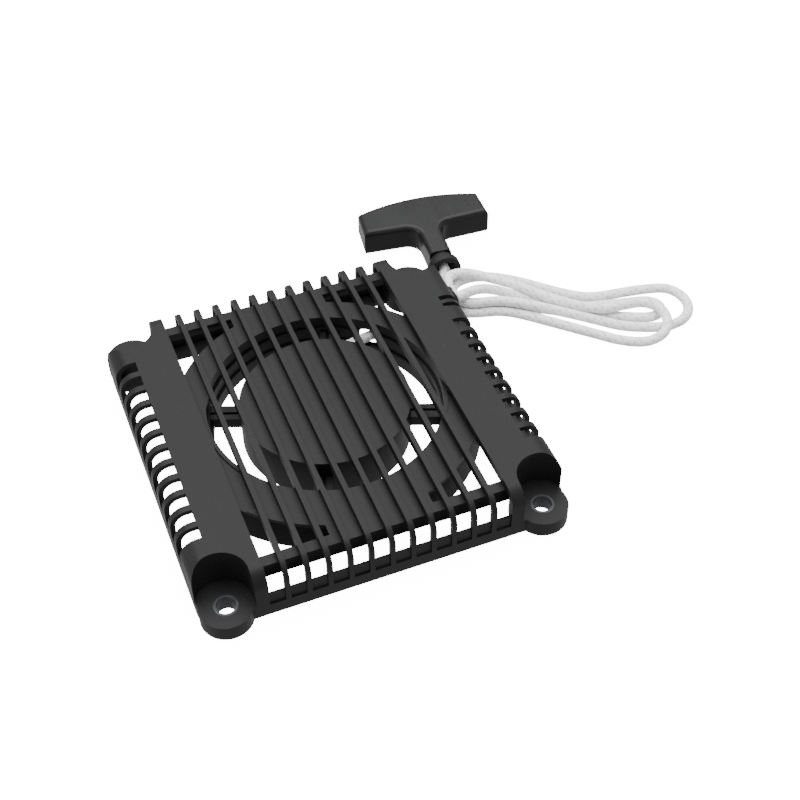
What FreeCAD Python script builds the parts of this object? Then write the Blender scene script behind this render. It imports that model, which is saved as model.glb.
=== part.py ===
"""Recoil starter with a louvred cover, a reel inside it and a T-grip on a loose rope.

Millimetres, +Z up. The origin is the centre of the four mounting holes, on the plane of the feet.
+X runs across the ribs towards the rope outlet, +Y runs along the ribs.
"""
import FreeCAD, Part

import math
import os
import re

from FreeCAD import Placement, Rotation, Vector

doc = FreeCAD.newDocument("RecoilStarter")

SIZES = {
    # cover
    "cover_span": 180.0, "cover_height": 28.3, "wall": 2.5, "edge_round": 8.5, "corner_round": 12.5,
    "rib_pitch": 10.0, "rib_width": 2.5, "rib_depth": 4.3, "rib_count": 11, "sill_height": 13.0,
    "panel_depth": 0.8, "panel_height": 6.0, "foot_flange": 6.5, "flange_thickness": 3.0,
    "slot_pitch": 10.13, "slot_width": 6.7, "slot_inset": 11.0, "narrow_slot": 3.0,
    # feet
    "hole_span_x": 155.0, "hole_span_y": 168.0, "ear_radius": 12.5, "ear_thickness": 8.5,
    "hole_radius": 4.5, "sleeve_wall": 1.2, "recess_radius": 13.0, "recess_x": 78.0, "recess_y": 82.5,
    # casing under the ribs
    "plate_thickness": 2.5, "plate_half_x": 61.1, "plate_half_y": 81.3, "plate_radius": 74.0,
    "strip_depth": 5.7, "nose_half": 25.0, "lip_height": 8.0, "lip_wall": 2.0,
    "skirt_foot_radius": 76.5, "skirt_foot_z": 10.0, "skirt_wall": 2.0,
    "reel_x": 1.2, "reel_y": 4.0, "duct_radius": 58.0, "duct_wall": 2.0, "duct_foot_z": 3.0,
    "duct_step": 1.1, "can_radius": 42.0, "can_wall": 2.2, "can_foot_z": 1.5,
    "spoke_width": 9.0, "spoke_z": 9.0, "spoke_height": 6.0, "spoke_angle": 21.0, "spoke_groove": 1.6,
    "boss_x": 66.0, "boss_y": 36.0, "boss_radius": 4.0, "lug_radius": 5.2, "lug_thickness": 3.0,
    "screw_radius": 1.9, "screw_length": 13.0, "screw_head_radius": 3.6, "screw_head": 2.4,
    "fit_gap": 0.05, "running_gap": 0.05, "free_gap": 0.4,
    # reel and its shaft
    "shaft_radius": 8.0, "shaft_foot_z": 4.9, "hub_radius": 12.0, "bush_wall": 1.5,
    "spring_post_radius": 10.0, "web_z": 8.0, "web_thickness": 2.2, "drum_radius": 22.0,
    "drum_wall": 1.5, "drum_top_z": 20.9, "flange_radius": 38.5, "flange_wall": 1.2,
    "groove_height": 6.4, "spring_height": 8.0, "spring_strip": 0.5, "spring_turns": 8.0,
    # clutch under the reel
    "pin_circle": 17.5, "pin_radius": 2.0, "pawl_thickness": 2.7, "pawl_length": 13.0,
    "pawl_half_width": 3.5, "peg_offset": 8.0, "peg_radius": 1.2, "pawl_swing": 30.0,
    "guide_radius": 26.0, "guide_thickness": 1.5, "guide_swing": 25.0, "washer_thickness": 0.3,
    "centre_screw_radius": 3.0, "centre_head_radius": 8.0, "centre_head": 2.2, "shoulder_radius": 5.0,
    # rope
    "rope_radius": 2.75, "rope_turn_radius": 35.6, "lead_angle": 10.7, "tunnel_radius": 5.0,
    "ferrule_radius": 5.2, "ferrule_flange": 7.0, "ferrule_length": 7.0, "ferrule_rim": 1.1,
    "outlet_pad": 1.5,
    "hank_reach": 130.0, "hank_middle_reach": 112.0, "hank_bend_reach": 33.0,
    "hank_start": 1.0, "hank_clear": 4.6,
    "hank_low": 5.6, "hank_middle": 11.2, "hank_bend": 16.4, "reel_knot_radius": 3.1, "knot_circle": 28.0,
    # grip
    "grip_out": 13.7, "grip_up": 38.0, "grip_turn": -5.5, "grip_width": 73.0, "grip_thickness": 16.0,
    "grip_end_depth": 18.5, "grip_bow": 6.0, "grip_axis_z": 9.0, "stem_width": 12.5,
    "stem_fillet": 8.0, "grip_edge": 3.0, "collar_radius": 9.0, "collar_mouth": 44.0,
    "collar_length": 9.2, "knot_radius": 5.2, "pocket_width": 13.0, "pocket_depth": 15.0,
}

sheet = doc.addObject("Spreadsheet::Sheet", "Sizes")
for row, (alias, value) in enumerate(SIZES.items(), start=1):
    sheet.set(f"A{row}", alias.replace("_", " "))
    sheet.set(f"B{row}", str(value))
    sheet.setAlias(f"B{row}", alias)
doc.recompute()


def size(alias):
    """The sheet's value of one named size."""
    return float(getattr(sheet, alias))


def sized(text):
    """An expression in which every named size points at its cell."""
    return re.sub(r"[a-z][a-z_]*", lambda word: f"Sizes.{word[0]}" if word[0] in SIZES else word[0], text)


def bind(thing, **expressions):
    """Tie properties to the sheet; x, y and z mean the thing's place."""
    for name, text in expressions.items():
        target = f"Placement.Base.{name}" if name in ("x", "y", "z") else name
        thing.setExpression(target, sized(str(text)))
    return thing


def box(name, length, width, height, x, y, z):
    """A box from its lowest corner."""
    thing = doc.addObject("Part::Box", name)
    return bind(thing, Length=length, Width=width, Height=height, x=x, y=y, z=z)


def middle_box(name, length, width, height, z, x="0", y="0"):
    """A box centred on x, y that stands on z."""
    return box(name, length, width, height, f"({x}) - ({length}) / 2", f"({y}) - ({width}) / 2", z)


def rod(name, radius, height, x="0", y="0", z="0", turn=None):
    """A cylinder along Z, or along the direction that turn gives it."""
    thing = doc.addObject("Part::Cylinder", name)
    if turn is not None:
        thing.Placement = Placement(Vector(), turn)
    return bind(thing, Radius=radius, Height=height, x=x, y=y, z=z)


def cone(name, foot, top, height, x="0", y="0", z="0", turn=None):
    """A cone along Z, or along the direction that turn gives it."""
    thing = doc.addObject("Part::Cone", name)
    if turn is not None:
        thing.Placement = Placement(Vector(), turn)
    return bind(thing, Radius1=foot, Radius2=top, Height=height, x=x, y=y, z=z)


def fuse(name, *pieces):
    """One solid, or one group of solids, out of several."""
    thing = doc.addObject("Part::MultiFuse", name)
    thing.Shapes = list(pieces)
    return thing


def common(name, first, second):
    """What two shapes share."""
    thing = doc.addObject("Part::MultiCommon", name)
    thing.Shapes = [first, second]
    return thing


def cut(name, body, *tools):
    """A body less all its tools."""
    thing = doc.addObject("Part::Cut", name)
    thing.Base = body
    thing.Tool = tools[0] if len(tools) == 1 else fuse(f"{name}_tools", *tools)
    return thing


def ring(name, outer, inner, height, x="0", y="0", z="0"):
    """A tube along Z."""
    through = rod(f"{name}_bore", inner, f"({height}) + 2", x, y, f"({z}) - 1")
    return cut(name, rod(f"{name}_rim", outer, height, x, y, z), through)


def round_edges(name, body, radii):
    """Fillet the edges that each test in radii picks, by that test's radius."""
    doc.recompute()
    thing = doc.addObject("Part::Fillet", name)
    thing.Base = body
    chosen = []
    for index, edge in enumerate(body.Shape.Edges, start=1):
        for test, radius in radii:
            if test(edge):
                chosen.append((index, radius, radius))
                break
    thing.Edges = chosen
    return thing


def feature(name, shape, place=None):
    """A shape that no primitive makes, with its place set afterwards."""
    thing = doc.addObject("Part::Feature", name)
    thing.Shape = shape
    if place is not None:
        thing.Placement = place
    return thing


NODES = []


def node(name, thing):
    """Name a finished piece after its file."""
    thing.Label = name
    NODES.append(thing)
    return thing


def upright(edge):
    return abs(edge.tangentAt(edge.FirstParameter).z) > 0.99 and len(edge.Vertexes) == 2


def level_at(height):
    """A test for edges that lie flat at one height."""
    def test(edge):
        bounds = edge.BoundBox
        return abs(bounds.ZMin - height) < 0.01 and abs(bounds.ZMax - height) < 0.01
    return test


CORNERS = [(x, y) for x in (-1, 1) for y in (-1, 1)]

# ---------------------------------------------------------------- louvred cover
CAVITY_TOP = "(cover_height - wall)"
RIB_FOOT = "(cover_height - rib_depth)"


def cover_shell():
    """The moulded square cover: a shell, thick where the ribs run, with a round well over each foot."""
    block = middle_box("block", "cover_span", "cover_span", "cover_height", "0")
    outer = round_edges("outer", block, [(upright, size("corner_round")),
                                         (level_at(size("cover_height")), size("edge_round"))])
    hollow_span = "cover_span - 2 * wall"
    hollow = middle_box("hollow", hollow_span, hollow_span, CAVITY_TOP + " + 1", "-1")
    inner = round_edges("inner", hollow, [(upright, size("corner_round") - size("wall")),
                                          (level_at(size("cover_height") - size("wall")),
                                           size("edge_round") - size("wall"))])
    shell = cut("shell", outer, inner)
    deck_width = "rib_pitch * (rib_count + 1) - rib_width + 2 * wall"
    deck = middle_box("deck", deck_width, "cover_span", "rib_depth", RIB_FOOT)
    pieces = [deck]
    for index, (side, end) in enumerate(CORNERS):
        x, y = f"{side} * recess_x", f"{end} * recess_y"
        pieces.append(rod(f"well_{index}", "recess_radius + wall", "cover_height", x, y))
        run = "cover_span / 2 - recess_y"
        pieces.append(middle_box(f"well_end_{index}", "recess_radius + wall", run, "cover_height", "0",
                                 f"{side} * (recess_x - (recess_radius + wall) / 2)",
                                 f"{end} * (recess_y + ({run}) / 2)"))
    lining = common("lining", fuse("lining_blocks", *pieces), outer)
    flange_y = "cover_span / 2 - wall - foot_flange / 2"
    flanges = []
    for end in (-1, 1):
        flanges.append(middle_box(f"flange_{end + 1}", "2 * (recess_x - recess_radius) - 2 * wall",
                                  "foot_flange + 0.2", "flange_thickness", "0", "0", f"{end} * ({flange_y})"))
    return fuse("shell_and_wells", shell, lining, *flanges)


def cover_openings():
    """Every cut in the cover: air openings between the ribs, side slots, wells and the rope tunnel."""
    tools = []
    openings = int(size("rib_count")) + 1
    for index in range(openings):
        x = f"rib_pitch * ({index} - rib_count / 2)"
        tools.append(middle_box(f"opening_{index}", "rib_pitch - rib_width", "cover_span + 10",
                                "cover_height", "sill_height", x))
        for end in (-1, 1):
            tools.append(middle_box(f"panel_{index}_{end + 1}", "rib_pitch - rib_width", "2 * panel_depth",
                                    "panel_height + 0.1", "sill_height - panel_height", x,
                                    f"{end} * cover_span / 2"))
    for side in (-1, 1):
        x = f"{side} * (cover_span / 2 - slot_inset + 10)"
        for index in range(12):
            y = f"slot_pitch * {index - 5.5}"
            if side > 0 and index > 8:
                continue
            tools.append(middle_box(f"slot_{side + 1}_{index}", "20", "slot_width", "cover_height",
                                    "sill_height", x, y))
    for index, step in enumerate((3.95, 4.5)):
        tools.append(middle_box(f"narrow_{index}", "20", "narrow_slot", "cover_height", "sill_height",
                                "cover_span / 2 - slot_inset + 10", f"slot_pitch * {step}"))
    for index, (side, end) in enumerate(CORNERS):
        x, y = f"{side} * recess_x", f"{end} * recess_y"
        tools.append(rod(f"recess_{index}", "recess_radius", "cover_height", x, y, "ear_thickness"))
        tools.append(middle_box(f"recess_end_{index}", "30", "20", "cover_height", "ear_thickness",
                                f"{side} * (recess_x - recess_radius + 15)", f"{end} * (recess_y + 10)"))
    return tools


LEAD_TURN = Rotation(Vector(0, 0, 1), size("lead_angle")) * Rotation(Vector(0, 1, 0), 90)
ROPE_Z = "(web_z + web_thickness + groove_height / 2)"
LEAD_X = "(reel_x - rope_turn_radius * sin(lead_angle))"
LEAD_Y = "(reel_y + rope_turn_radius * cos(lead_angle))"


def along_lead(distance):
    """Where the straight run of rope is, this far from where it leaves the reel."""
    return f"{LEAD_X} + ({distance}) * cos(lead_angle)", f"{LEAD_Y} + ({distance}) * sin(lead_angle)"


OUTLET_RUN = f"((cover_span / 2 - {LEAD_X}) / cos(lead_angle))"


def lead_rod(name, radius, start, length):
    """A cylinder on the line of the straight run of rope."""
    x, y = along_lead(start)
    return rod(name, radius, length, x, y, ROPE_Z, LEAD_TURN)


def louvre_cover():
    """The finished cover with its feet, screw bosses and rope outlet."""
    body = cut("cover_cut", cover_shell(), *cover_openings())
    feet = []
    bores = []
    for index, (side, end) in enumerate(CORNERS):
        x, y = f"{side} * hole_span_x / 2", f"{end} * hole_span_y / 2"
        feet.append(rod(f"ear_{index}", "ear_radius", "ear_thickness", x, y))
        bores.append(rod(f"ear_bore_{index}", "hole_radius + sleeve_wall + fit_gap", "ear_thickness + 2",
                         x, y, "-1"))
        x, y = f"{side} * boss_x", f"{end} * boss_y"
        foot = "(skirt_foot_z + lug_thickness)"
        feet.append(rod(f"boss_{index}", "boss_radius", f"{CAVITY_TOP} + 0.5 - {foot}", x, y, foot))
        bores.append(rod(f"boss_bore_{index}", "screw_radius + fit_gap", "screw_length - lug_thickness + 0.5",
                         x, y, foot + " - 0.2"))
    outlet_pad = lead_rod("outlet_pad_disc", "ferrule_flange + 0.6", f"{OUTLET_RUN} - 4.5", "outlet_pad + 4.5")
    with_feet = fuse("cover_feet", body, outlet_pad, *feet)
    outlet = lead_rod("outlet_bore", "ferrule_radius + fit_gap", f"{OUTLET_RUN} - 12", "24")
    return node("louvre_cover", cut("cover", with_feet, outlet, *bores))


def mount_sleeves():
    """A steel compression sleeve in each of the four feet."""
    sleeves = []
    for index, (side, end) in enumerate(CORNERS):
        sleeves.append(ring(f"sleeve_{index}", "hole_radius + sleeve_wall", "hole_radius", "ear_thickness",
                            f"{side} * hole_span_x / 2", f"{end} * hole_span_y / 2"))
    return node("mount_sleeves", fuse("sleeves", *sleeves))


def rope_guide():
    """The ferrule that the rope runs through, with a rim outside the wall."""
    start = f"{OUTLET_RUN} + outlet_pad + ferrule_rim - ferrule_length"
    barrel = lead_rod("ferrule_barrel", "ferrule_radius", start, "ferrule_length")
    rim = lead_rod("ferrule_rim_disc", "ferrule_flange", f"{OUTLET_RUN} + outlet_pad", "ferrule_rim")
    bore = lead_rod("ferrule_bore", "rope_radius + free_gap", f"{start} - 1", "ferrule_length + 4")
    return node("rope_guide", cut("ferrule", fuse("ferrule_blank", barrel, rim), bore))


# ---------------------------------------------------------------- starter casing
PLATE_Z = f"({RIB_FOOT} - plate_thickness)"


def deck_plate():
    """The flat plate under the ribs: round, with straight ends and a strip along each end."""
    full = middle_box("plate_full", "2 * plate_half_x", "2 * plate_half_y", "plate_thickness", PLATE_Z)
    disc = rod("plate_disc", "plate_radius", "plate_thickness", z=PLATE_Z)
    nose = middle_box("plate_nose", "2 * nose_half", "2 * plate_half_y", "plate_thickness", PLATE_Z)
    plate = common("plate_round", full, fuse("plate_outline", disc, nose))
    edges = []
    for end in (-1, 1):
        edges.append(middle_box(f"strip_{end + 1}", "2 * plate_half_x", "strip_depth", "plate_thickness",
                                PLATE_Z, "0", f"{end} * (plate_half_y - strip_depth / 2)"))
        edges.append(middle_box(f"lip_{end + 1}", "2 * plate_half_x", "lip_wall", "lip_height",
                                f"{RIB_FOOT} - lip_height", "0", f"{end} * (plate_half_y - lip_wall / 2)"))
    return fuse("plate", plate, *edges)


def skirt():
    """The slightly flared wall that hangs from the edge of the round plate, with its screw lugs."""
    rise = f"{PLATE_Z} - skirt_foot_z + 0.5"
    outside = cone("skirt_outside", "skirt_foot_radius", "plate_radius", rise, z="skirt_foot_z")
    inside = cone("skirt_inside", "skirt_foot_radius - skirt_wall", "plate_radius - skirt_wall", rise,
                  z="skirt_foot_z")
    wall = cut("skirt_wall_ring", outside, inside)
    notches = []
    lugs = []
    for index, (side, end) in enumerate(CORNERS):
        x, y = f"{side} * boss_x", f"{end} * boss_y"
        foot = "(skirt_foot_z + lug_thickness)"
        notches.append(rod(f"skirt_notch_{index}", "boss_radius + free_gap", "cover_height", x, y, foot))
        lugs.append(ring(f"lug_{index}", "lug_radius", "screw_radius + fit_gap", "lug_thickness", x, y,
                         "skirt_foot_z"))
    lug_holes = [rod(f"lug_hole_{index}", "screw_radius + fit_gap", "lug_thickness + 2",
                     f"{side} * boss_x", f"{end} * boss_y", "skirt_foot_z - 1")
                 for index, (side, end) in enumerate(CORNERS)]
    return cut("skirt_with_lugs", fuse("skirt_and_lugs", cut("skirt_notched", wall, *notches), *lugs),
               *lug_holes)


def duct():
    """The round air duct: a wall with two steps inside."""
    x, y = "reel_x", "reel_y"
    rise = f"({RIB_FOOT} - duct_foot_z)"
    outside = rod("duct_outside", "duct_radius + duct_wall", rise, x, y, "duct_foot_z")
    bores = []
    for step in range(3):
        bores.append(rod(f"duct_bore_{step}", f"duct_radius - {step} * duct_step", f"{rise} + 2", x, y,
                         f"{RIB_FOOT} - {rise} * {step + 1} / 3 - {2 if step == 2 else 0}"))
    return cut("duct_ring", outside, *bores)


def can():
    """The closed can over the reel, with the fixed shaft that the reel turns on."""
    x, y = "reel_x", "reel_y"
    wall = ring("can_wall_ring", "can_radius", "can_radius - can_wall", f"{RIB_FOOT} - can_foot_z", x, y,
                "can_foot_z")
    lid = rod("can_lid", "can_radius", "plate_thickness", x, y, PLATE_Z)
    post_z = "(web_z + web_thickness + 0.6)"
    post = rod("spring_post", "spring_post_radius", f"{PLATE_Z} + 0.5 - ({post_z})", x, y, post_z)
    shaft = rod("shaft", "shaft_radius", f"{post_z} - shaft_foot_z + 0.5", x, y, "shaft_foot_z")
    bore = rod("shaft_bore", "centre_screw_radius + fit_gap", "12", x, y, "shaft_foot_z - 0.5")
    return cut("can_and_shaft", fuse("can_blank", wall, lid, post, shaft), bore)


def spokes():
    """Four grooved spokes that carry the can inside the duct."""
    bars = []
    reach = "(duct_radius - can_radius + can_wall)"
    for index in range(4):
        turn = Rotation(Vector(0, 0, 1), 90 * index - size("spoke_angle"))
        bar = doc.addObject("Part::Box", f"spoke_{index}")
        groove = doc.addObject("Part::Box", f"spoke_groove_{index}")
        angle = f"(90 * {index} - spoke_angle)"
        for thing, across, width, z, height in (
                (bar, "spoke_width / 2", "spoke_width", "spoke_z", "spoke_height"),
                (groove, "-spoke_width / 2 + spoke_groove * 3", "spoke_groove", "spoke_z + spoke_height - 2", "3")):
            thing.Placement = Placement(Vector(), turn)
            start = "(can_radius - can_wall / 2)"
            bind(thing, Length=reach, Width=width, Height=height,
                 x=f"reel_x + {start} * cos({angle}) + ({across}) * sin({angle})",
                 y=f"reel_y + {start} * sin({angle}) - ({across}) * cos({angle})", z=z)
        bars.append(cut(f"grooved_spoke_{index}", bar, groove))
    return bars


def starter_case():
    """Plate, skirt, duct, spokes and can in one moulding, with a way through for the rope."""
    air_gap = rod("air_gap", "duct_radius", "cover_height", "reel_x", "reel_y", "skirt_foot_z")
    plate = cut("plate_with_duct", deck_plate(), air_gap)
    ledges = []
    for side in (-1, 1):
        width = "rib_pitch - rib_width"
        front = "plate_radius * 0.66"
        ledges.append(middle_box(f"ledge_{side + 1}", width, f"{front} + 6.5", "1.4", f"{RIB_FOOT} - 0.9",
                                 f"{side} * rib_pitch * rib_count / 2", f"(6.5 - {front}) / 2"))
    blank = fuse("case_blank", cut("plate_ledged", plate, *ledges), skirt(), duct(), can(), *spokes())
    tunnel = lead_rod("rope_tunnel", "tunnel_radius", "6", f"{OUTLET_RUN} - 12")
    return node("starter_case", cut("case", blank, tunnel))


def screw(name, x, y, seat, shank, head_radius, head, length):
    """A screw driven upwards from its seat, with a cross recess in its head."""
    body = fuse(f"{name}_blank", rod(f"{name}_shank", shank, length, x, y, seat),
                rod(f"{name}_head", head_radius, head, x, y, f"{seat} - {head}"))
    bars = []
    for index, (length_x, width_y) in enumerate(((head_radius, "0.9"), ("0.9", head_radius))):
        bars.append(middle_box(f"{name}_recess_{index}", length_x, width_y, f"{head} / 2 + 1",
                               f"{seat} - {head} - 1", x, y))
    return cut(name, body, *bars)


def case_screws():
    """Four self-tapping screws that hold the casing in the cover."""
    screws = []
    for index, (side, end) in enumerate(CORNERS):
        screws.append(screw(f"case_screw_{index}", f"{side} * boss_x", f"{end} * boss_y", "skirt_foot_z",
                            "screw_radius", "screw_head_radius", "screw_head", "screw_length"))
    return node("case_screws", fuse("case_screw_set", *screws))


# ---------------------------------------------------------------- reel, spring and clutch
GUIDE_TOP = "(shaft_foot_z - washer_thickness - 0.1)"
KNOT_Y = "(reel_y - knot_circle)"


def reel():
    """The rope reel: hub, web, two flanges and the drum that the spring lies in."""
    x, y = "reel_x", "reel_y"
    web = rod("reel_web", "drum_radius", "web_thickness", x, y, "web_z")
    hub = rod("reel_hub", "hub_radius", "web_z - shaft_foot_z + 0.5", x, y, "shaft_foot_z")
    drum = ring("reel_drum", "drum_radius", "drum_radius - drum_wall", "drum_top_z - web_z", x, y, "web_z")
    lower = rod("lower_flange", "flange_radius", "flange_wall", x, y, "web_z + web_thickness - flange_wall")
    upper = ring("upper_flange", "flange_radius", "drum_radius - drum_wall", "flange_wall", x, y,
                 "web_z + web_thickness + groove_height")
    cup = rod("knot_cup", "reel_knot_radius + flange_wall + running_gap", "groove_height + 0.4", x, KNOT_Y,
              "web_z + web_thickness - 0.2")
    blank = fuse("reel_blank", web, hub, drum, lower, upper, cup)
    bore = rod("reel_bore", "shaft_radius + running_gap + bush_wall + fit_gap", "cover_height", x, y, "0")
    holes = []
    for side in (-1, 1):
        holes.append(rod(f"reel_pin_hole_{side + 1}", "pin_radius + fit_gap", "cover_height",
                         f"reel_x + {side} * pin_circle", y, "0"))
    seat = rod("knot_seat", "reel_knot_radius + running_gap", f"{ROPE_Z} + reel_knot_radius + running_gap",
               "reel_x", KNOT_Y)
    way_out = rod("knot_way_out", "rope_radius + fit_gap", "knot_circle / 2", "reel_x", KNOT_Y, ROPE_Z,
                  Rotation(Vector(0, 1, 0), 90))
    return node("reel", cut("reel_cut", blank, bore, seat, way_out, *holes))


def reel_bush():
    """The bronze bush in the reel's hub."""
    inner = "shaft_radius + running_gap"
    height = "web_z + web_thickness - shaft_foot_z"
    return node("reel_bush", ring("bush", f"{inner} + bush_wall", inner, height, "reel_x", "reel_y",
                                  "shaft_foot_z"))


def pawl_pins():
    """Two steel pins in the web of the reel, one for each pawl."""
    pins = []
    for side in (-1, 1):
        pins.append(rod(f"pin_{side + 1}", "pin_radius", "web_z + web_thickness - shaft_foot_z - 0.2",
                        f"reel_x + {side} * pin_circle", "reel_y", "shaft_foot_z + 0.2"))
    return node("pawl_pins", fuse("pins", *pins))


def pawl(name, side):
    """A steel pawl: an arm from its pin to a sharp tip, with a peg that sits in the guide plate."""
    z = "web_z - 0.2 - pawl_thickness"
    x = f"reel_x + {side} * pin_circle"
    eye = rod(f"{name}_eye", "pawl_half_width", "pawl_thickness", x, "reel_y", z)
    arm = middle_box(f"{name}_arm", "2 * pawl_half_width", "pawl_length", "pawl_thickness", z, x,
                     f"reel_y - {side} * pawl_length / 2")
    tip = rod(f"{name}_tip", "pawl_half_width", "pawl_thickness", x, f"reel_y - {side} * pawl_length", z)
    bevel = middle_box(f"{name}_bevel", "pawl_half_width + 1", "pawl_half_width * 2", "pawl_thickness + 2",
                       f"{z} - 1", f"reel_x + {side} * (pin_circle - pawl_half_width / 2 - 0.5)",
                       f"reel_y - {side} * (pawl_length + pawl_half_width)")
    peg = rod(f"{name}_peg", "peg_radius", f"{z} - ({GUIDE_TOP} - guide_thickness) + 0.5", x,
              f"reel_y - {side} * peg_offset", f"{GUIDE_TOP} - guide_thickness")
    bore = rod(f"{name}_bore", "pin_radius + running_gap", "pawl_thickness + 2", x, "reel_y", f"{z} - 1")
    return node(name, cut(f"{name}_cut", fuse(f"{name}_blank", eye, arm, tip, peg), bevel, bore))


def peg_path(side, share):
    """Where a pawl's peg is on the guide plate, after this share of the plate's swing."""
    swing = math.radians(size("pawl_swing") * share)
    back = math.radians(-size("guide_swing") * share)
    out = size("pin_circle") + size("peg_offset") * math.sin(swing)
    down = -size("peg_offset") * math.cos(swing)
    x = out * math.cos(back) - down * math.sin(back)
    y = out * math.sin(back) + down * math.cos(back)
    return side * x, side * y


def guide_plate():
    """The friction plate that throws the pawls out: a disc with a slanted slot for each peg."""
    plate = ring("guide_disc", "guide_radius", "shoulder_radius + running_gap", "guide_thickness",
                 "reel_x", "reel_y", f"{GUIDE_TOP} - guide_thickness")
    slots = []
    steps = 4
    for side in (-1, 1):
        for step in range(steps + 1):
            x, y = peg_path(side, step / steps)
            slots.append(rod(f"peg_slot_{side + 1}_{step}", "peg_radius + free_gap", "guide_thickness + 2",
                             f"reel_x + {x:.4f}", f"reel_y + {y:.4f}", f"{GUIDE_TOP} - guide_thickness - 1"))
        start, end = peg_path(side, 0), peg_path(side, 1)
        length = math.dist(start, end)
        heading = math.degrees(math.atan2(end[1] - start[1], end[0] - start[0]))
        lane = doc.addObject("Part::Box", f"peg_lane_{side + 1}")
        lane.Placement = Placement(Vector(), Rotation(Vector(0, 0, 1), heading))
        half = size("peg_radius") + size("free_gap")
        offset_x = half * math.sin(math.radians(heading))
        offset_y = -half * math.cos(math.radians(heading))
        bind(lane, Length=f"{length:.4f}", Width="2 * (peg_radius + free_gap)", Height="guide_thickness + 2",
             x=f"reel_x + {start[0] + offset_x:.4f}", y=f"reel_y + {start[1] + offset_y:.4f}",
             z=f"{GUIDE_TOP} - guide_thickness - 1")
        slots.append(lane)
    return node("guide_plate", cut("guide", plate, *slots))


def friction_washer():
    """The thin washer between the reel's hub and the guide plate."""
    return node("friction_washer", ring("washer", "hub_radius - 1", "shaft_radius + 0.5", "washer_thickness",
                                        "reel_x", "reel_y", "shaft_foot_z - washer_thickness - 0.05"))


def centre_screw():
    """The screw that holds the clutch on the shaft, with the shoulder that the guide plate turns on."""
    seat = f"{GUIDE_TOP} - guide_thickness - 0.1"
    shoulder = rod("screw_shoulder", "shoulder_radius", f"shaft_foot_z - ({seat})", "reel_x", "reel_y", seat)
    driven = screw("centre_screw_body", "reel_x", "reel_y", seat, "centre_screw_radius",
                   "centre_head_radius", "centre_head", "12")
    return node("centre_screw", fuse("centre_screw_whole", driven, shoulder))


def recoil_spring():
    """The flat spiral spring, from the post out to the drum."""
    turns = size("spring_turns")
    thickness = size("spring_strip")
    inner = size("spring_post_radius") + 0.15
    outer = size("drum_radius") - size("drum_wall") - 0.15 - thickness
    steps = int(turns * 12)

    def spiral(offset):
        points = []
        for step in range(steps + 1):
            angle = 2 * math.pi * turns * step / steps
            radius = inner + offset + (outer - inner) * step / steps
            points.append(Vector(radius * math.cos(angle), radius * math.sin(angle), 0))
        curve = Part.BSplineCurve()
        curve.interpolate(points)
        return curve.toShape(), points
    inside, inside_points = spiral(0)
    outside, outside_points = spiral(thickness)
    caps = [Part.makeLine(inside_points[end], outside_points[end]) for end in (0, -1)]
    outline = Part.Wire(Part.__sortEdges__([inside, caps[1], outside, caps[0]]))
    strip = Part.Face(outline).extrude(Vector(0, 0, size("spring_height")))
    thing = feature("spring_strip_solid", strip)
    bind(thing, x="reel_x", y="reel_y", z="web_z + web_thickness + 1")
    return node("recoil_spring", thing)


# ---------------------------------------------------------------- rope
def rope_coil():
    """The turns of rope that lie on the reel, as one ring."""
    turns = ring("rope_turns", "rope_turn_radius + rope_radius - 0.05", "drum_radius + fit_gap",
                 "2 * rope_radius", "reel_x", "reel_y", f"{ROPE_Z} - rope_radius")
    round_cup = rod("round_knot_cup", "reel_knot_radius + flange_wall + running_gap + fit_gap",
                    "cover_height", "reel_x", KNOT_Y)
    return node("rope_coil", cut("rope_turns_cut", turns, round_cup))


def rope_lead():
    """The straight run from the reel through the outlet."""
    clear = "rope_turn_radius + 2 * rope_radius + fit_gap"
    start = f"sqrt(({clear})^2 - rope_turn_radius^2)"
    return node("rope_lead", lead_rod("rope_run", "rope_radius", start,
                                      f"{OUTLET_RUN} + outlet_pad + ferrule_rim - {start}"))


def reel_knot():
    """The knot in its cup on the reel, which holds the rope's inner end."""
    knot = doc.addObject("Part::Sphere", "reel_knot_ball")
    bind(knot, Radius="reel_knot_radius", x="reel_x", y=KNOT_Y, z=ROPE_Z)
    return node("reel_knot", knot)


HANK_OUTLINE = [(2.0, 54.5), (10.0, 50.5), (26.0, 46.5), (39.0, 36.5), (53.0, 23.0), (66.0, 10.5),
                (78.0, 0.0), (91.0, -5.5), (103.0, -4.5), (110.0, 0.5), (120.0, 4.5), (127.0, 12.0),
                (128.6, 20.5), (125.0, 32.0), (114.0, 38.5), (96.0, 41.8), (81.0, 43.5), (68.5, 51.0),
                (57.0, 63.0), (45.0, 73.5), (32.0, 80.5), (19.0, 82.3), (10.0, 81.8), (1.2, 78.0),
                (1.2, 64.0)]


def rope_hank():
    """The outer shape of the loose rope: three loops, two deep along their middle, three by the outlet."""
    points = [Vector(x, y, 0) for x, y in HANK_OUTLINE]
    face = Part.Face(Part.makePolygon(points + points[:1]))
    layers = []
    for start, reach, height in (("hank_start", "hank_reach", "hank_low"),
                                 ("hank_clear", "hank_middle_reach", "hank_middle"),
                                 ("hank_clear", "hank_bend_reach", "hank_bend")):
        layer = face.extrude(Vector(0, 0, size(height)))
        within = Part.makeBox(size(reach), 2 * size("hank_reach"), size(height),
                              Vector(size(start), -size("hank_reach"), 0))
        layers.append(layer.common(within))
    loops = feature("hank", layers[0].fuse(layers[1:]).removeSplitter())
    return node("rope_hank", bind(loops, x="cover_span / 2"))


# ---------------------------------------------------------------- grip
GRIP_TURN = Rotation(Vector(0, 0, 1), size("grip_turn"))
GRIP_X = "(cover_span / 2 + grip_out)"
GRIP_Y = "(cover_span / 2 + grip_up)"


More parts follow.
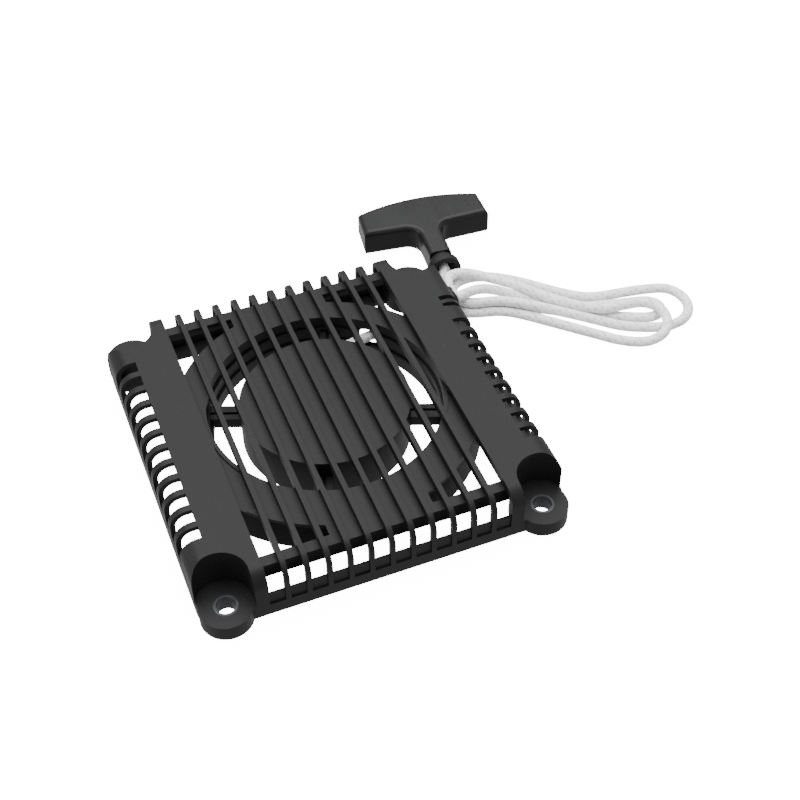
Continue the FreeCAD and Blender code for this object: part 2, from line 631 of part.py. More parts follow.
def on_grip(across, along):
    """A place on the turned grip, measured across the bar and along the stem from the bar's middle."""
    return (f"{GRIP_X} + ({across}) * cos(grip_turn) - ({along}) * sin(grip_turn)",
            f"{GRIP_Y} + ({across}) * sin(grip_turn) + ({along}) * cos(grip_turn)")


def stem_rod(name, radius, start, length):
    """A cylinder on the stem's axis; start and length run from the bar towards the mouth."""
    x, y = on_grip("0", f"-({start})")
    turn = GRIP_TURN * Rotation(Vector(1, 0, 0), 90)
    return rod(name, radius, length, x, y, "grip_axis_z", turn)


def handle():
    """The moulded T-grip: a bowed bar that runs into a round-shouldered stem."""
    half = size("grip_width") / 2
    end = size("grip_end_depth") / 2
    stem = size("stem_width") / 2
    shoulder = size("stem_fillet")
    foot = size("collar_length") - size("collar_mouth")
    start = -end
    knee = shoulder * (1 - math.sqrt(0.5))
    turns = [
        ((-half, start), None, (-stem - shoulder, start - 1.0)),
        ((-stem - shoulder, start - 1.0), (-stem - knee, start - 1.0 - knee), (-stem, start - 1.0 - shoulder)),
        ((-stem, start - 1.0 - shoulder), None, (-stem, foot)),
        ((-stem, foot), None, (stem, foot)),
        ((stem, foot), None, (stem, start - 1.0 - shoulder)),
        ((stem, start - 1.0 - shoulder), (stem + knee, start - 1.0 - knee), (stem + shoulder, start - 1.0)),
        ((stem + shoulder, start - 1.0), None, (half, start)),
        ((half, start), None, (half - 1.0, end)),
        ((half - 1.0, end), (0.0, end + size("grip_bow")), (-half + 1.0, end)),
        ((-half + 1.0, end), None, (-half, start)),
    ]
    edges = []
    for first, middle, last in turns:
        a, b = Vector(*first, 0), Vector(*last, 0)
        edges.append(Part.makeLine(a, b) if middle is None else Part.Arc(a, Vector(*middle, 0), b).toShape())
    slab = Part.Face(Part.Wire(edges)).extrude(Vector(0, 0, size("grip_thickness")))
    rims = [edge for edge in slab.Edges
            if level_at(0.0)(edge) or level_at(size("grip_thickness"))(edge)]
    rims = [edge for edge in rims if abs(edge.CenterOfMass.y - foot) > 0.1]
    rounded = slab.makeFillet(size("grip_edge"), rims)
    blank = feature("grip_blank", rounded, Placement(Vector(), GRIP_TURN))
    bind(blank, x=GRIP_X, y=GRIP_Y)
    bore = stem_rod("grip_bore", "rope_radius + free_gap", "0", "grip_width")
    x, y = on_grip("-pocket_width / 2", "-pocket_width / 2")
    pocket = box("knot_pocket", "pocket_width", "pocket_width", "pocket_depth", x, y,
                 "grip_axis_z - knot_radius - pocket_depth + 2 * knot_radius + 0.8")
    pocket.Placement.Rotation = GRIP_TURN
    return node("handle", cut("grip", blank, bore, pocket))


def handle_collar():
    """The soft bell on the end of the stem that takes the knock when the rope runs back."""
    x, y = on_grip("0", "-(collar_mouth - collar_length)")
    turn = GRIP_TURN * Rotation(Vector(1, 0, 0), 90)
    bell = cone("collar_bell", "stem_width / 2", "collar_radius", "collar_length - 4", x, y,
                "grip_axis_z", turn)
    rim = stem_rod("collar_rim", "collar_radius", "collar_mouth - 4", "4")
    bore = stem_rod("collar_hole", "rope_radius + free_gap", "collar_mouth - collar_length - 1",
                    "collar_length + 4")
    mouth = cone("collar_flare", "rope_radius + free_gap", "collar_radius - 2.5", "3.2",
                 *on_grip("0", "-(collar_mouth - 3)"), "grip_axis_z", turn)
    return node("handle_collar", cut("collar", fuse("collar_blank", bell, rim), bore, mouth))


def grip_knot():
    """The knot in the grip's pocket."""
    knot = doc.addObject("Part::Sphere", "grip_knot_ball")
    x, y = on_grip("0", "0")
    bind(knot, Radius="knot_radius", x=x, y=y, z="grip_axis_z")
    return node("grip_knot", knot)


def grip_rope():
    """The end of the rope inside the stem."""
    start = "knot_radius + 0.1"
    return node("grip_rope", stem_rod("rope_end", "rope_radius", start, f"collar_mouth - ({start}) + 0.2"))


louvre_cover()
mount_sleeves()
rope_guide()
starter_case()
case_screws()
reel()
reel_bush()
pawl_pins()
pawl("pawl_a", 1)
pawl("pawl_b", -1)
guide_plate()
friction_washer()
centre_screw()
recoil_spring()
rope_coil()
rope_lead()
reel_knot()
rope_hank()
handle()
handle_collar()
grip_knot()
grip_rope()

doc.recompute()
for thing in doc.Objects:
    if "Invalid" in thing.State or "Error" in thing.State:
        raise RuntimeError(f"{thing.Label} did not build: {thing.State}")
for thing in NODES:
    if thing.Shape.isNull() or not thing.Shape.isValid():
        raise RuntimeError(f"{thing.Label} has no valid shape")
os.makedirs("parts", exist_ok=True)
for thing in NODES:
    thing.Shape.exportStep(f"parts/{thing.Label}.step")
    print(f"{thing.Label}: {len(thing.Shape.Solids)} solids, {thing.Shape.Volume:.0f} mm3")
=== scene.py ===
import math

import bpy
import numpy as np
from mathutils import Matrix, Vector


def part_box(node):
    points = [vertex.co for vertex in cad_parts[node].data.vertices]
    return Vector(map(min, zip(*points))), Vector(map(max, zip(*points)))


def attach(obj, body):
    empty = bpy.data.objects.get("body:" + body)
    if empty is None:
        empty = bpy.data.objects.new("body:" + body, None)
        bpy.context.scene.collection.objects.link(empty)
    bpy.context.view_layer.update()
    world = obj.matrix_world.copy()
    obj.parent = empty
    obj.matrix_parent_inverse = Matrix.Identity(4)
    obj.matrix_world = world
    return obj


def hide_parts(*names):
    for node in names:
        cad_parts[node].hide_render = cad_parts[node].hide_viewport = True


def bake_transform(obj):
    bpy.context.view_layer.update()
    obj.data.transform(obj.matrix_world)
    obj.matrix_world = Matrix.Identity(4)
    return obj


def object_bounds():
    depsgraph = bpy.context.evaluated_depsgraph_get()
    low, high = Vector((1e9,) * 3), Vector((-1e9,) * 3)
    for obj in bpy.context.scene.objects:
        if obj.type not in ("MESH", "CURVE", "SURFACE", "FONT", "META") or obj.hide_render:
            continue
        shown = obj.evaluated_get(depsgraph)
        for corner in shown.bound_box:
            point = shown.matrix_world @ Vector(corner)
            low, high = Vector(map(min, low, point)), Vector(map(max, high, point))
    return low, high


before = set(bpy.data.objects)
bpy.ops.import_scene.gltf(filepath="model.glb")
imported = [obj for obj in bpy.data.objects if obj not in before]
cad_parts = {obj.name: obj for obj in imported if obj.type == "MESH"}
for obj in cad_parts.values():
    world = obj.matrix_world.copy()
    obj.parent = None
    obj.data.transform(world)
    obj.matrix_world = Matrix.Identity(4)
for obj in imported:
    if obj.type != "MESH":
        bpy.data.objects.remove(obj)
cad_low, cad_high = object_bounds()


# Louvred cover: black glass-filled polyamide, injection moulded in one piece with its ribs and feet.
# The tool's fine spark texture leaves it matt, with cloudy flow marks and faint rubbed scratches.
RUBBED = "2c2c2e"
FLOW_MARK = 0.022
FIBRE = 0.0009
SCRATCH = 0.0016


def linear(code):
    """An sRGB hex colour as the linear colour that a socket takes."""
    shares = [int(code[place : place + 2], 16) / 255 for place in (0, 2, 4)]
    return (*[s / 12.92 if s <= 0.04045 else ((s + 0.055) / 1.055) ** 2.4 for s in shares], 1)


def node(tree, kind, links=None, **settings):
    """Adds one node. links gives its inputs, each a socket to join or a value to set."""
    made = tree.nodes.new(kind)
    for key, value in settings.items():
        setattr(made, key, value)
    for key, value in (links or {}).items():
        if isinstance(value, bpy.types.NodeSocket):
            tree.links.new(value, made.inputs[key])
        else:
            made.inputs[key].default_value = value
    return made


def unfinished(name):
    """A new material with no nodes in it yet."""
    material = bpy.data.materials.new(name)
    material.use_nodes = True
    material.node_tree.nodes.clear()
    return material, material.node_tree


def finished(material, tree, relief, depth, links):
    """Joins up the surface: links are the shader's inputs, and relief is raised by depth metres."""
    raised = node(tree, "ShaderNodeBump", {"Height": relief, "Distance": depth, "Strength": 1.0})
    shader = node(tree, "ShaderNodeBsdfPrincipled", {"Normal": raised.outputs[0], **links})
    node(tree, "ShaderNodeOutputMaterial", {"Surface": shader.outputs[0]})
    return material


def wear(material, *names):
    """Gives CAD nodes a material, without touching their meshes."""
    for name in names:
        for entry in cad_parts[name].material_slots:
            entry.link = "OBJECT"
            entry.material = material


def moulded(name, colour, pale, texture, depth, smooth, rough, scratches=0.5, gloss=0.115):
    """A moulded plastic: texture and depth are the tool's spark marks, in metres."""
    material, tree = unfinished(name)
    where = node(tree, "ShaderNodeTexCoord").outputs["Object"]
    drawn = node(tree, "ShaderNodeMapping", {"Vector": where, "Scale": (1, 0.45, 1)}).outputs[0]
    flow = node(tree, "ShaderNodeTexNoise", {
        "Vector": drawn, "Scale": 1 / FLOW_MARK, "Detail": 3, "Roughness": 0.55,
    }).outputs[0]
    speckle = node(tree, "ShaderNodeTexNoise", {
        "Vector": where, "Scale": 1 / texture, "Detail": 2, "Roughness": 0.6,
    }).outputs[0]
    along = node(tree, "ShaderNodeMapping", {"Vector": where, "Scale": (1, 0.12, 1)}).outputs[0]
    fibre = node(tree, "ShaderNodeTexNoise", {
        "Vector": along, "Scale": 1 / FIBRE, "Detail": 3, "Roughness": 0.7,
    }).outputs[0]
    cloud = node(tree, "ShaderNodeMapRange", {"Value": flow, "From Min": 0.35, "From Max": 0.65}).outputs[0]
    base = node(tree, "ShaderNodeMix", {
        0: cloud, 6: linear(colour), 7: linear(pale),
    }, data_type="RGBA").outputs[2]
    strokes = node(tree, "ShaderNodeMapping", {"Vector": where, "Scale": (1, 0.07, 1)}).outputs[0]
    scratch = node(tree, "ShaderNodeTexNoise", {
        "Vector": strokes, "Scale": 1 / SCRATCH, "Detail": 4, "Roughness": 0.8,
    }).outputs[0]
    rub = node(tree, "ShaderNodeMapRange", {
        "Value": scratch, "From Min": 0.62, "From Max": 0.78, "To Min": 0, "To Max": scratches,
    }).outputs[0]
    base = node(tree, "ShaderNodeMix", {0: rub, 6: base, 7: linear(RUBBED)}, data_type="RGBA").outputs[2]
    sheen = node(tree, "ShaderNodeMapRange", {
        "Value": flow, "From Min": 0.3, "From Max": 0.7, "To Min": smooth, "To Max": rough,
    }).outputs[0]
    pitted = node(tree, "ShaderNodeMapRange", {"Value": speckle, "To Min": -0.05, "To Max": 0.05}).outputs[0]
    sheen = node(tree, "ShaderNodeMath", {0: sheen, 1: pitted}, operation="ADD").outputs[0]
    dulled = node(tree, "ShaderNodeMapRange", {"Value": rub, "To Min": 0, "To Max": 0.12}).outputs[0]
    sheen = node(tree, "ShaderNodeMath", {0: sheen, 1: dulled}, operation="ADD").outputs[0]
    relief = node(tree, "ShaderNodeMath", {0: fibre, 1: 0.5, 2: speckle}, operation="MULTIPLY_ADD").outputs[0]
    return finished(material, tree, relief, depth, {
        "Base Color": base, "Roughness": sheen, "Specular IOR Level": gloss,
    })


glass_filled = moulded("black_glass_filled_polyamide", "161617", "1b1b1c", 0.00045, 0.00004, 0.40, 0.52)
wear(glass_filled, "louvre_cover")


# Foot sleeves: short turned steel tubes pressed into the feet, so that the bolts don't crush them.
# They are phosphated, which is dark grey and dull.
CLOUD = 0.004


def metal(name, colour, stain, texture, smooth, rough, depth, stretch=(1, 1, 1)):
    """A bare or plated metal: texture is how far apart its marks are, in metres."""
    material, tree = unfinished(name)
    where = node(tree, "ShaderNodeTexCoord").outputs["Object"]
    drawn = node(tree, "ShaderNodeMapping", {"Vector": where, "Scale": stretch}).outputs[0]
    brushed = node(tree, "ShaderNodeTexNoise", {
        "Vector": drawn, "Scale": 1 / texture, "Detail": 4, "Roughness": 0.6,
    }).outputs[0]
    cloud = node(tree, "ShaderNodeTexNoise", {
        "Vector": where, "Scale": 1 / CLOUD, "Detail": 4, "Roughness": 0.6,
    }).outputs[0]
    stained = node(tree, "ShaderNodeMapRange", {
        "Value": cloud, "From Min": 0.45, "From Max": 0.7, "To Min": 0, "To Max": 0.35,
    }).outputs[0]
    base = node(tree, "ShaderNodeMix", {
        0: stained, 6: linear(colour), 7: linear(stain),
    }, data_type="RGBA").outputs[2]
    lines = node(tree, "ShaderNodeMapRange", {"Value": brushed, "To Min": smooth, "To Max": rough}).outputs[0]
    dulled = node(tree, "ShaderNodeMapRange", {
        "Value": cloud, "From Min": 0.4, "From Max": 0.7, "To Min": 0, "To Max": 0.1,
    }).outputs[0]
    sheen = node(tree, "ShaderNodeMath", {0: lines, 1: dulled}, operation="ADD").outputs[0]
    return finished(material, tree, brushed, depth, {"Base Color": base, "Metallic": 1.0, "Roughness": sheen})


wear(metal("phosphated_steel_sleeve", "3a3c3f", "26282a", 0.0005, 0.38, 0.5, 0.00001), "mount_sleeves")


# Starter case: the plate, skirt, duct and can under the ribs, moulded in one piece in unfilled black
# polyamide. It is a little smoother than the cover, and screws to it at four places.
wear(moulded("black_polyamide_case", "161617", "1b1b1c", 0.00055, 0.00004, 0.38, 0.5), "starter_case")


# Screws and guide plate: low-carbon steel, cold formed or stamped, then plated with bright zinc.
# The plating is pale grey, with slightly darker clouds.
zinc_plated = metal("zinc_plated_steel", "a9acb0", "7f8488", 0.0006, 0.28, 0.42, 0.00001)
wear(zinc_plated, "case_screws", "centre_screw", "guide_plate")


# Rope guide, pawls and their pins: hardened steel, ground where the rope or the cup rubs on it.
# The grinding leaves fine lines one way.
ground = metal("ground_steel", "9a9c9f", "6b6e72", 0.0004, 0.22, 0.36, 0.000008, (1, 0.1, 1))
wear(ground, "pawl_pins", "pawl_a", "pawl_b", "rope_guide")


# Recoil spring: a flat strip of carbon steel wound into the case, tempered to a grey blue.
blued = metal("blued_spring_steel", "5d6068", "43464e", 0.0005, 0.25, 0.38, 0.000006, (1, 1, 0.1))
wear(blued, "recoil_spring")


# Reel and its bush: the reel is moulded in black acetal, which is smoother than the casings. The
# bush pressed into it is sintered bronze, dull brown and finely pored.
wear(moulded("black_acetal_reel", "0c0c0d", "101011", 0.0008, 0.00002, 0.3, 0.4, scratches=0.3), "reel")
wear(metal("sintered_bronze", "9c7a4b", "6e5636", 0.0002, 0.42, 0.58, 0.00002), "reel_bush")


# Friction washer: natural polyamide, stamped from sheet. It is cream and slightly waxy, and
# rubs on the guide plate to work the pawls.
WASHER_CLOUD = 0.003
WASHER_GRAIN = 0.0005


def washer_material():
    material, tree = unfinished("natural_polyamide_washer")
    where = node(tree, "ShaderNodeTexCoord").outputs["Object"]
    cloud = node(tree, "ShaderNodeTexNoise", {
        "Vector": where, "Scale": 1 / WASHER_CLOUD, "Detail": 3, "Roughness": 0.5,
    }).outputs[0]
    cream = node(tree, "ShaderNodeMix", {
        0: cloud, 6: linear("d9d3bf"), 7: linear("c8c0a6"),
    }, data_type="RGBA")
    fine = node(tree, "ShaderNodeTexNoise", {
        "Vector": where, "Scale": 1 / WASHER_GRAIN, "Detail": 2, "Roughness": 0.5,
    }).outputs[0]
    sheen = node(tree, "ShaderNodeMapRange", {"Value": fine, "To Min": 0.35, "To Max": 0.5}).outputs[0]
    return finished(material, tree, cloud, 0.00002, {
        "Base Color": cream.outputs[2], "Roughness": sheen,
        "Subsurface Weight": 0.2, "Subsurface Scale": 0.001,
    })


wear(washer_material(), "friction_washer")


# Packed rope: the turns on the reel, the two knots and the end in the grip, of the same white
# braid as the free rope. Its strands slant both ways, drawn here as grooves in the surface, and the
# grooves are painted darker grey green as shade.
def packed_braid():
    material, tree = unfinished("white_polyamide_packed")
    where = node(tree, "ShaderNodeTexCoord").outputs["Object"]
    slanted = []
    for slant in (0.75, -0.75):
        turned = node(tree, "ShaderNodeMapping", {
            "Vector": where, "Rotation": (0.4, slant, slant),
        }).outputs[0]
        slanted.append(node(tree, "ShaderNodeTexWave", {
            "Vector": turned, "Scale": 210.0, "Distortion": 1.0, "Detail": 2.0,
        }).outputs["Fac"])
    height = node(tree, "ShaderNodeMath", {0: slanted[0], 1: slanted[1]}, operation="MAXIMUM").outputs[0]
    # Painted shade: low height, in the grooves between strands, is coloured grey green and the crowns near
    # white.
    yarn = node(tree, "ShaderNodeMix", {
        0: height, 6: linear("8d938e"), 7: linear("ebebe8"),
    }, data_type="RGBA")
    return finished(material, tree, height, 0.0002, {
        "Base Color": yarn.outputs[2], "Roughness": 0.6, "Sheen Weight": 0.2,
    })


wear(packed_braid(), "rope_coil", "reel_knot", "grip_knot", "grip_rope")


# Pull rope, its free length: 5.5 mm braided polyamide, folded by hand into three loops that lie on
# the floor, out of the steel guide and back into the grip. A machine plaits it from eight carriers
# each way, and each strand stands up where it passes over another.
ROPE = 0.0055
CARRIERS = 8
STRAND_PITCH = 0.0024
STRAND_RELIEF = 0.00045
RING_STEP = 0.00034
RING_POINTS = 40
SWELLS = ((0.012, 61), (0.010, 143))
LOOSE_ROPE = [
    # out of the guide, over the bundle and into the inner loop
    (91.5, 57.3, 13.4), (99, 58.7, 13.4), (108, 60.3, 13),
    (118.5, 61, 8.5), (130, 56.5, 3.5), (140.5, 49, 2.75),
    (150, 41.5, 2.75), (160.5, 35.5, 2.75), (172, 32.5, 2.75),
    (185, 29.5, 2.75), (195.5, 27, 2.75), (200, 20, 2.75),
    (193, 13.5, 2.75), (180.5, 18.5, 2.75), (170.5, 24, 2.75),
    (159.5, 30, 2.75), (150, 35.5, 2.75), (140.5, 41.5, 2.75),
    (129, 48.5, 2.75), (118, 54.5, 2.75), (108, 57.5, 2.75),
    # first bend beside the cover, then the outer loop
    (100.5, 60, 2.75), (97, 69, 2.75), (101.5, 78.5, 2.75),
    (112, 81, 2.75), (123, 77.5, 2.75), (135, 69, 2.75),
    (145, 59, 2.75), (155, 49, 2.75), (167, 40.5, 2.75),
    (182, 38.5, 2.75), (198, 36, 2.75), (211, 32, 2.75),
    (215.5, 19, 2.75), (209, 7.5, 2.75), (196, 4.5, 2.75),
    (184, 8.5, 2.75), (171.5, 15, 2.75), (159.5, 24, 4.3),
    (147.5, 32, 6), (136, 40, 7.5), (126, 47.5, 7.6), (117, 53, 7.6), (107, 55, 7.6),
    # second bend, then the middle loop, which lies on the others
    (99.3, 57.5, 8), (94.2, 67.5, 9.3), (98, 78.5, 10.8), (109, 79.5, 9), (120, 71.5, 7.7), (131, 60.5, 8),
    (139.5, 49, 8), (148.5, 39, 7.7), (157.5, 30, 8.3), (167, 24.5, 8.2), (178, 24, 8), (190, 22.5, 8),
    (196.5, 11.5, 8.4), (191.5, -1.5, 7.2), (180.5, -3, 3.5),
    (168, 3.5, 2.75), (156, 15, 2.75), (143, 27.5, 2.75),
    (129, 41, 2.75), (118, 49.5, 2.75), (106, 52.5, 2.75),
    # up beside the cover and into the grip's collar
    (96.5, 56, 2.75), (92.8, 64.5, 3.0), (93.0, 75, 4.0), (97.6, 81.0, 6.6), (99.6, 88, 9),
]


def make(name, data):
    thing = bpy.data.objects.new(name, data)
    bpy.context.scene.collection.objects.link(thing)
    return thing


def sized(millimetres):
    return Vector(millimetres) / 1000


def centreline(name, points):
    """The points along a smooth spline that has the given millimetre points as its controls."""
    route = bpy.data.curves.new(name, "CURVE")
    route.dimensions = "3D"
    route.resolution_u = 24
    spline = route.splines.new("NURBS")
    spline.points.add(len(points) - 1)
    for point, place in zip(spline.points, points):
        point.co = (*sized(place), 1)
    spline.order_u = 3
    spline.use_endpoint_u = True
    holder = make(name, route)
    drawn = bpy.data.meshes.new_from_object(holder)
    line = np.array([vertex.co for vertex in drawn.vertices])
    bpy.data.objects.remove(holder)
    bpy.data.meshes.remove(drawn)
    bpy.data.curves.remove(route)
    return line


def spaced(line, step):
    """The same line with its points step apart, and how far along it each one is."""
    runs = np.linalg.norm(np.diff(line, axis=0), axis=1)
    line = line[np.concatenate([[True], runs > 1e-7])]
    along = np.concatenate([[0], np.cumsum(np.linalg.norm(np.diff(line, axis=0), axis=1))])
    places = np.linspace(0, along[-1], max(2, round(along[-1] / step) + 1))
    return np.stack([np.interp(places, along, line[:, axis]) for axis in range(3)], 1), places


def crown(phase):
    """How high a strand stands, from 0 at its edges to 1 along its middle."""
    return np.sqrt(np.clip(1 - (2 * (phase - np.floor(phase)) - 1) ** 2, 0, 1))


def sideways(ahead):
    """A direction square to the line at each point, carried along it without twisting."""
    side = Vector(ahead[0]).orthogonal().normalized()
    sides = []
    for index, direction in enumerate(ahead):
        direction = Vector(direction)
        if index:
            side = Vector(ahead[index - 1]).rotation_difference(direction) @ side
        side = (side - direction * side.dot(direction)).normalized()
        sides.append(side)
    return np.array(sides)


def braided(name, line, radius):
    """A tube along line with a plain braid on it: strands both ways, over and under in turn."""
    centres, along = spaced(line, RING_STEP)
    ahead = np.gradient(centres, axis=0)
    ahead /= np.linalg.norm(ahead, axis=1)[:, None]
    sides = sideways(ahead)
    thirds = np.cross(ahead, sides)
    angle = np.linspace(0, 2 * np.pi, RING_POINTS, endpoint=False)[None, :]
    turn = angle * CARRIERS / (2 * np.pi)
    travel = along[:, None] / STRAND_PITCH
    one, other = turn + travel, turn - travel
    first_over = (np.floor(one) + np.floor(other)) % 2 < 1
    lift = np.where(first_over, crown(one), crown(other))
    dip = np.where(first_over, crown(other), crown(one))
    height = 0.72 * lift + 0.28 * lift * dip
    strand = np.where(first_over, np.floor(one) % CARRIERS, CARRIERS + np.floor(other) % CARRIERS)
    rng = np.random.default_rng(3)
    soft = 1
    for share, waves in SWELLS:
        soft = soft + share * np.sin(along * waves + rng.uniform(0, 6))
    reach = radius * soft[:, None] - STRAND_RELIEF * (1 - height)
    ring = np.cos(angle)[..., None] * sides[:, None, :] + np.sin(angle)[..., None] * thirds[:, None, :]
    places = centres[:, None, :] + reach[..., None] * ring
    grid = np.arange(len(centres) * RING_POINTS).reshape(len(centres), RING_POINTS)
    corners = (grid[:-1], np.roll(grid[:-1], -1, 1), np.roll(grid[1:], -1, 1), grid[1:])
    faces = np.stack(corners, -1).reshape(-1, 4).tolist() + [grid[0][::-1].tolist(), grid[-1].tolist()]
    mesh = bpy.data.meshes.new(name)
    mesh.from_pydata(places.reshape(-1, 3).tolist(), [], faces)
    for label, values in (("braid_height", height), ("braid_strand", strand)):
        written = mesh.attributes.new(label, "FLOAT", "POINT")
        written.data.foreach_set("value", values.ravel().astype(np.float32))
    mesh.shade_smooth()
    mesh.update()
    return make(name, mesh), centres


# The yarn is white filament with a silky sheen. Its valleys between strands are painted dark grey
# green as shade, it is a little soiled, and two of the carriers each way lay a grey green tracer.
FILAMENT = 0.00018
SOILED_PATCH = 0.012


def braid_material():
    material, tree = unfinished("white_polyamide_braid")
    height = node(tree, "ShaderNodeAttribute", attribute_name="braid_height").outputs["Fac"]
    marked = node(tree, "ShaderNodeAttribute", attribute_name="braid_strand").outputs["Fac"]
    strand = node(tree, "ShaderNodeMath", {0: marked}, operation="ROUND").outputs[0]
    fourth = node(tree, "ShaderNodeMath", {0: strand, 1: 4.0}, operation="MODULO").outputs[0]
    tracer = node(tree, "ShaderNodeMath", {0: fourth, 1: 1.0, 2: 0.2}, operation="COMPARE").outputs[0]
    tinted = node(tree, "ShaderNodeMath", {0: tracer, 1: 0.55}, operation="MULTIPLY").outputs[0]
    shade = node(tree, "ShaderNodeTexWhiteNoise", {"W": strand}, noise_dimensions="1D").outputs[0]
    yarn = node(tree, "ShaderNodeMix", {
        0: shade, 6: linear("fbfbfa"), 7: linear("f0f1f0"),
    }, data_type="RGBA").outputs[2]
    yarn = node(tree, "ShaderNodeMix", {0: tinted, 6: yarn, 7: linear("8d978f")}, data_type="RGBA").outputs[2]
    where = node(tree, "ShaderNodeTexCoord").outputs["Object"]
    filaments = node(tree, "ShaderNodeTexNoise", {
        "Vector": where, "Scale": 1 / FILAMENT, "Detail": 3, "Roughness": 0.7,
    }).outputs[0]
    greyed = node(tree, "ShaderNodeMapRange", {
        "Value": filaments, "From Min": 0.35, "From Max": 0.7, "To Min": 0, "To Max": 0.35,
    }).outputs[0]
    yarn = node(tree, "ShaderNodeMix", {0: greyed, 6: yarn, 7: linear("dfe1df")}, data_type="RGBA").outputs[2]
    # Painted shade: where the braid height is low, in the valleys between strands, the colour is mixed
    # towards dark grey green.
    painted_groove_shade = node(tree, "ShaderNodeMapRange", {
        "Value": height, "From Min": 0.10, "From Max": 0.5, "To Min": 0.8, "To Max": 0,
    }).outputs[0]
    colour = node(tree, "ShaderNodeMix", {
        0: painted_groove_shade, 6: yarn, 7: linear("5f6762"),
    }, data_type="RGBA").outputs[2]
    patches = node(tree, "ShaderNodeTexNoise", {
        "Vector": where, "Scale": 1 / SOILED_PATCH, "Detail": 3, "Roughness": 0.6,
    }).outputs[0]
    soil = node(tree, "ShaderNodeMapRange", {
        "Value": patches, "From Min": 0.5, "From Max": 0.75, "To Min": 0, "To Max": 0.22,
    }).outputs[0]
    colour = node(tree, "ShaderNodeMix", {
        0: soil, 6: colour, 7: linear("bfc1ba"),
    }, data_type="RGBA").outputs[2]
    return finished(material, tree, filaments, 0.00004, {
        "Base Color": colour, "Roughness": 0.55, "Sheen Weight": 0.25, "Sheen Roughness": 0.4,
        "Subsurface Weight": 0.15, "Subsurface Radius": (1, 1, 1), "Subsurface Scale": 0.0005,
    })


polyamide_braid = braid_material()
loose_rope, ring_centres = braided("loose_rope", centreline("rope_route", LOOSE_ROPE), ROPE / 2)
loose_rope.data.materials.append(polyamide_braid)
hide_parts("rope_hank")
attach(loose_rope, "grip")


# Rope inside the housing: the same braid, from the last turn on the reel to the mouth of the guide.
# It is drawn out through the guide behind the loops when the grip is pulled.
LEAD_INSET = 0.0012
LEAD_ROOM = 0.00005
LEAD_STEPS = 60
lead_low, lead_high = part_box("rope_lead")
lead_from = Vector((lead_low.x + LEAD_INSET, lead_low.y + ROPE / 2, (lead_low.z + lead_high.z) / 2))
lead_to = sized(LOOSE_ROPE[0])
lead_way = np.array([lead_from.lerp(lead_to, step / LEAD_STEPS) for step in range(LEAD_STEPS + 1)])
rope_inside, _ = braided("rope_inside", lead_way, ROPE / 2 - LEAD_ROOM)
rope_inside.data.materials.append(polyamide_braid)
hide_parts("rope_lead")
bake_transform(rope_inside)


# Grip and its collar: the T-grip is moulded in black polypropylene, glossier than the casings. The
# bell pushed on its stem is black rubber, dull and slightly soft, and takes the knock as it returns.
polypropylene = moulded("black_polypropylene_grip", "161617", "1b1b1c", 0.0006, 0.00002, 0.26, 0.36,
                        gloss=0.14)
wear(polypropylene, "handle")
rubber = moulded("black_rubber_collar", "161617", "1b1b1c", 0.0004, 0.00004, 0.45, 0.56,
                 scratches=0.4, gloss=0.12)
wear(rubber, "handle_collar")


# Floor: a white paper sweep, lit through from below so that it stays even. It throws no light back
# at the part, whose lower faces stay dark.
PAPER_FIBRE = 0.004
FLOOR_REACH = 4
FLOOR_GAP = 0.0001


def floor_material():
    material, tree = unfinished("pale_paper_sweep")
    where = node(tree, "ShaderNodeTexCoord").outputs["Object"]
    fibre = node(tree, "ShaderNodeTexNoise", {
        "Vector": where, "Scale": 1 / PAPER_FIBRE, "Detail": 3, "Roughness": 0.6,
    }).outputs[0]
    paper = node(tree, "ShaderNodeMix", {
        0: fibre, 6: linear("f6f6f6"), 7: linear("fafafa"),
    }, data_type="RGBA")
    shader = node(tree, "ShaderNodeBsdfPrincipled", {
        "Base Color": paper.outputs[2], "Roughness": 0.9,
        "Emission Color": (1, 1, 1, 1), "Emission Strength": 14.0,
    })
    node(tree, "ShaderNodeOutputMaterial", {"Surface": shader.outputs[0]})
    return material


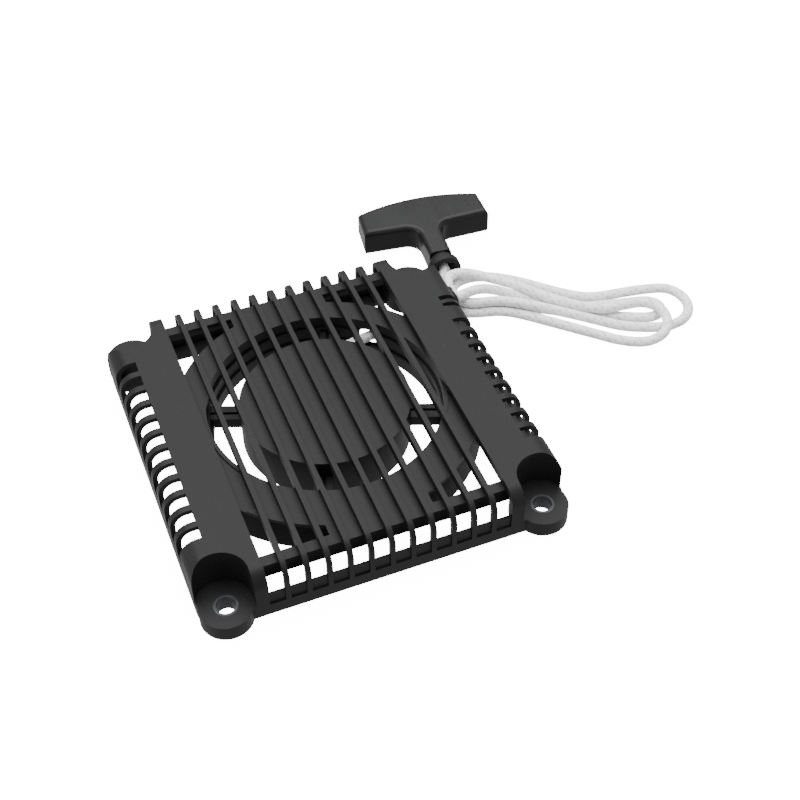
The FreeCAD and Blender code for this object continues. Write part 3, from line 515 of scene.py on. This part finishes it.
sweep = bpy.data.meshes.new("paper_sweep")
corners = [(FLOOR_REACH * x, FLOOR_REACH * y, 0) for x, y in ((-1, -1), (1, -1), (1, 1), (-1, 1))]
sweep.from_pydata(corners, [], [(0, 1, 2, 3)])
sweep.materials.append(floor_material())
floor = make("paper_sweep", sweep)
floor.location.z = cad_low.z - FLOOR_GAP
floor.visible_diffuse = False
floor.visible_glossy = False


# Light: one large soft panel above and a little behind the cover, a small one at its left, and an
# even pale surround.
def panel(name, place, towards, width, height, power):
    light = make(name, bpy.data.lights.new(name, "AREA"))
    light.data.shape = "RECTANGLE"
    light.data.size, light.data.size_y = width, height
    light.data.energy = power
    light.location = place
    light.rotation_mode = "QUATERNION"
    light.rotation_quaternion = (Vector(towards) - Vector(place)).to_track_quat("-Z", "Y")


panel("panel_above", (0.1, 0.6, 1.8), (0, 0, 0), 2.5, 2.2, 105)
panel("panel_left", (-1.1, 0.3, 0.5), (0, 0.1, 0), 0.5, 0.7, 5)
surround = bpy.data.worlds.new("surround")
bpy.context.scene.world = surround
surround.use_nodes = True
surround.node_tree.nodes["Background"].inputs["Color"].default_value = (1, 1, 1, 1)
surround.node_tree.nodes["Background"].inputs["Strength"].default_value = 0.95


# Camera: it looks down at the front left corner of the cover through a fairly long lens.
AZIMUTH = math.radians(-21.46)
ELEVATION = math.radians(46.66)
TILT = -0.0065
flat = math.cos(ELEVATION)
backward = Vector((math.sin(AZIMUTH) * flat, -math.cos(AZIMUTH) * flat, math.sin(ELEVATION)))
level = Vector((math.cos(AZIMUTH), math.sin(AZIMUTH), 0))
upright = backward.cross(level)
across = level * math.cos(TILT) + upright * math.sin(TILT)
upward = upright * math.cos(TILT) - level * math.sin(TILT)
camera = make("camera", bpy.data.cameras.new("camera"))
camera.data.lens = 63.09
camera.data.clip_end = 20
turned = Matrix((across, upward, backward)).transposed().to_4x4()
camera.matrix_world = Matrix.Translation((-0.1369, -0.4474, 0.5216)) @ turned
bpy.context.scene.camera = camera


bpy.context.view_layer.update()
